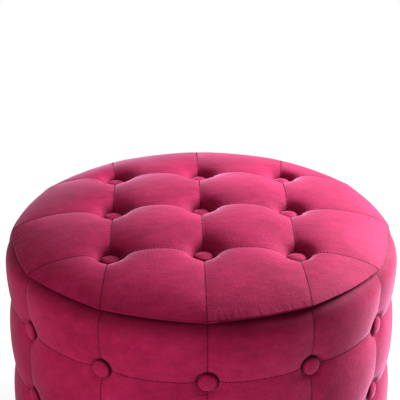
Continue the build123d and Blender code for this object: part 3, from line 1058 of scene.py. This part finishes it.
def finish_node(name, material):
    """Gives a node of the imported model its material, smooth but for its real edges."""
    node = frame["nodes"][name]
    node.data.materials.clear()
    node.data.materials.append(material)
    node.data.shade_smooth()
    select_only(node)
    bpy.ops.object.shade_smooth_by_angle(angle=math.radians(35))


lid_velvet = velvet("lid_velvet", painted_edge_shade, gathers=True)
side_velvet = velvet("side_velvet", painted_lid_shadow)
button_velvet = velvet("button_velvet")
seam_thread = thread("seam_thread", (0.035, 0.0008, 0.006))

# The two padded covers

lid_cushion, lid_chains = make_lid_cushion()
lid_cushion.data.materials.append(lid_velvet)
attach(lid_cushion, "lid")
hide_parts("lid_cover", "lid_foam")

side_upholstery, side_chains = make_side_upholstery()
side_upholstery.data.materials.append(side_velvet)
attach(side_upholstery, "base")
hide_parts("side_cover", "side_foam")

# Their stitches

stitch = make_stitch()
places = stitch_places(lid_cushion, lid_chains, upwards)
lid_stitches = place_copies("lid_stitches", stitch, places)
lid_stitches.data.materials.append(seam_thread)
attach(lid_stitches, "lid")

places = stitch_places(side_upholstery, side_chains, away_from_axis)
side_stitches = place_copies("side_stitches", stitch, places)
side_stitches.data.materials.append(seam_thread)
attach(side_stitches, "base")
bpy.data.objects.remove(stitch)

# Their buttons

button = make_button()
lid_buttons = place_copies("lid_covered_buttons", button, lid_button_places())
paint_copies(lid_buttons, button)
lid_buttons.data.materials.append(button_velvet)
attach(lid_buttons, "lid")
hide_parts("lid_buttons")
for row, level in enumerate(row_levels):
    name = f"side_buttons_row_{row + 1}"
    side_buttons = place_copies(f"covered_{name}", button, side_button_places(level))
    paint_copies(side_buttons, button)
    side_buttons.data.materials.append(button_velvet)
    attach(side_buttons, "base")
    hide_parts(name)
bpy.data.objects.remove(button)

# Finishes of the nodes that stay as they are

plywood = wood("birch_plywood", (0.56, 0.39, 0.22), (0.42, 0.27, 0.14), (1, 9, 9))
softwood = wood("pine", (0.60, 0.40, 0.20), (0.44, 0.25, 0.11), (9, 9, 1))
hardboard = wood("hardboard", (0.26, 0.15, 0.08), (0.20, 0.11, 0.055), (4, 4, 4))
lining = woven("lining_cloth", (0.045, 0.042, 0.045), (0.028, 0.026, 0.029), 5200)
dust_cloth = woven("dust_cloth", (0.030, 0.029, 0.030), (0.018, 0.018, 0.019), 3800)
twine = thread("waxed_twine", (0.55, 0.48, 0.36))
zinc = metal("zinc_plate", (0.62, 0.62, 0.60), 0.34)
staple_steel = metal("staple_steel", (0.52, 0.52, 0.53), 0.28)
button_metal = metal("button_metal", (0.66, 0.66, 0.64), 0.32)
glide_plastic = moulded("glide_plastic", (0.022, 0.022, 0.024))

finishes = {
    plywood: ("base_board", "top_ring", "lid_board", "locating_ring"),
    softwood: ("upright_posts",),
    hardboard: ("drum_wall",),
    lining: ("lining_wall", "lining_floor", "lid_lining"),
    dust_cloth: ("dust_cover",),
    twine: ("side_twines", "lid_twines"),
    zinc: (
        "post_screws_lower", "post_screws_upper", "side_washers", "lid_washers", "glide_screws",
        "locating_ring_screws",
    ),
    staple_steel: (
        "wall_staples_lower", "wall_staples_upper", "hem_staples", "rim_staples",
        "lining_staples", "dust_staples", "lid_cover_staples", "lid_lining_staples",
    ),
    button_metal: ("side_button_backs", "lid_button_backs"),
    glide_plastic: ("glide_feet",),
}
for material, names in finishes.items():
    for name in names:
        finish_node(name, material)

# Floor, light and camera


def what_is_seen(nodes, links):
    """1 for what is seen, straight or in a gloss or glass, and 0 for light on the object."""
    path = nodes.new("ShaderNodeLightPath")
    camera, gloss = path.outputs["Is Camera Ray"], path.outputs["Is Glossy Ray"]
    seen = calculate(nodes, links, "MAXIMUM", camera, gloss)
    return calculate(nodes, links, "MAXIMUM", seen, path.outputs["Is Transmission Ray"])


def make_floor():
    """A pale floor that is seen white, a little greyer round the object's foot."""
    bpy.ops.object.select_all(action="DESELECT")
    bpy.ops.mesh.primitive_circle_add(
        vertices=96, radius=9, fill_type="NGON", location=(0, 0, -0.0002))
    floor = bpy.context.active_object
    floor.name = "floor"
    material, nodes, links, surface = new_material("pale_floor")
    surface.inputs["Base Color"].default_value = (0.86, 0.86, 0.86, 1)
    surface.inputs["Roughness"].default_value = 0.9
    surface.inputs["Specular IOR Level"].default_value = 0.1
    glow = nodes.new("ShaderNodeEmission")
    glow.inputs["Color"].default_value = (1, 1, 1, 1)
    glow.inputs["Strength"].default_value = 1.0
    place = nodes.new("ShaderNodeTexCoord")
    reach = nodes.new("ShaderNodeVectorMath")
    reach.operation = "LENGTH"
    links.new(place.outputs["Object"], reach.inputs[0])
    fade = by_distance(nodes, links, reach.outputs["Value"], 2.0, (
        (0.16, grey(0.80)), (0.55, white),
    ))
    share = calculate(nodes, links, "MULTIPLY", what_is_seen(nodes, links), fade)
    blend = nodes.new("ShaderNodeMixShader")
    links.new(share, blend.inputs["Fac"])
    links.new(surface.outputs[0], blend.inputs[1])
    links.new(glow.outputs[0], blend.inputs[2])
    links.new(blend.outputs[0], nodes["Material Output"].inputs["Surface"])
    floor.data.materials.append(material)


def make_world(strength):
    """White where it is seen, and a weaker, even light on the object."""
    world = bpy.data.worlds.new("studio")
    bpy.context.scene.world = world
    world.use_nodes = True
    nodes, links = world.node_tree.nodes, world.node_tree.links
    background = nodes["Background"]
    background.inputs["Color"].default_value = (1, 1, 1, 1)
    shown = calculate(nodes, links, "MAXIMUM", what_is_seen(nodes, links), strength)
    links.new(shown, background.inputs["Strength"])


def area_light(name, place, aim, size, energy, colour=white):
    light = bpy.data.lights.new(name, "AREA")
    light.shape = "DISK"
    light.size = size
    light.energy = energy
    light.color = colour
    lamp = bpy.data.objects.new(name, light)
    lamp.location = place
    lamp.rotation_euler = (Vector(aim) - Vector(place)).to_track_quat("-Z", "Y").to_euler()
    bpy.context.scene.collection.objects.link(lamp)


def make_camera():
    """The photograph's camera: its angles and distance were fitted to the seams and buttons."""
    height_angle = math.radians(24.86)
    turn = math.radians(-1.656)
    unit = 0.266
    distance = 6.6985 * unit
    shift_right = -0.0056 * unit
    shift_up = 0.1531 * unit
    aim = Vector((0, 0, 0.392))
    back = Vector((
        math.sin(turn) * math.cos(height_angle),
        -math.cos(turn) * math.cos(height_angle),
        math.sin(height_angle),
    ))
    right = Vector((math.cos(turn), math.sin(turn), 0))
    up = back.cross(right)
    data = bpy.data.cameras.new("camera")
    data.sensor_width = 36
    data.lens = 114.0
    camera = bpy.data.objects.new("camera", data)
    place = aim + back * distance + right * shift_right + up * shift_up
    turned_back = Matrix((right, up, back)).transposed().to_4x4()
    camera.matrix_world = Matrix.Translation(place) @ turned_back
    bpy.context.scene.collection.objects.link(camera)
    bpy.context.scene.camera = camera


make_floor()
make_world(strength=0.195)
area_light("key", (1.12, 0.80, 1.26), (0, 0, 0.36), 0.7, 39, (0.96, 1.0, 1.0))
area_light("rim", (0.88, 0.30, 0.76), (0.24, -0.05, 0.38), 0.36, 33, (0.76, 0.98, 1.0))
area_light("top", (-0.1, 0.7, 2.3), (0, 0, 0.35), 2.0, 12)
area_light("low", (-1.15, -1.38, 0.38), (0, 0, 0.26), 0.24, 16, (1.0, 0.85, 0.92))
make_camera()
bpy.context.scene.view_settings.view_transform = "Standard"
